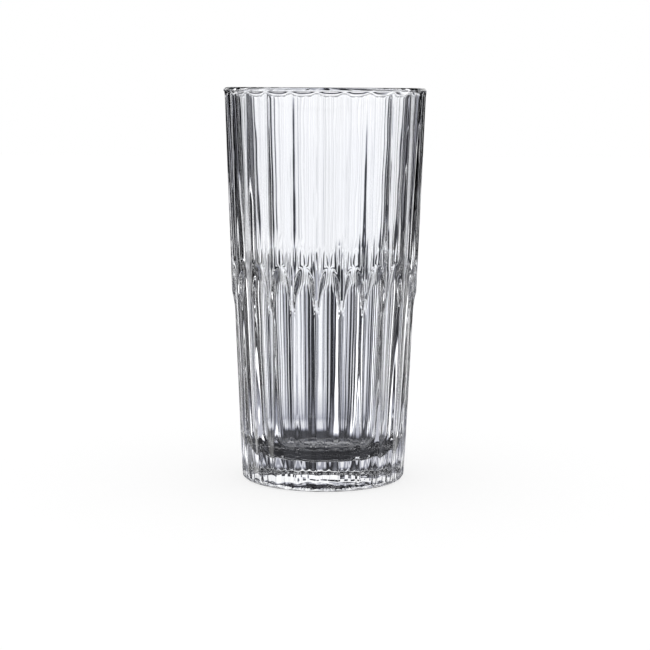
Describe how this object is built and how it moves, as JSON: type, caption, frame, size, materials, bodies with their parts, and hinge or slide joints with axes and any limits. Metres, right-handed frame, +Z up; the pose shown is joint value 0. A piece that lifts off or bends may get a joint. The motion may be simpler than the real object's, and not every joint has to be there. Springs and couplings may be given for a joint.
{
  "type": "drinking glass",
  "caption": "Tall clear pressed-glass tumbler with a plain round lip, shallow flutes above, deep arched flutes below and a thick base.",
  "frame": {"origin": "centre of the foot, on the table", "axes": "+Z up along the axis of the glass, through the centre of the rim; a flute is centred on +X"},
  "size_m": [0.071, 0.071, 0.138],
  "materials": {
    "clear_glass": "clear, fire-polished pressed glass"
  },
  "bodies": {
    "root": {"tumbler": "clear_glass"}
  },
  "joints": []
}
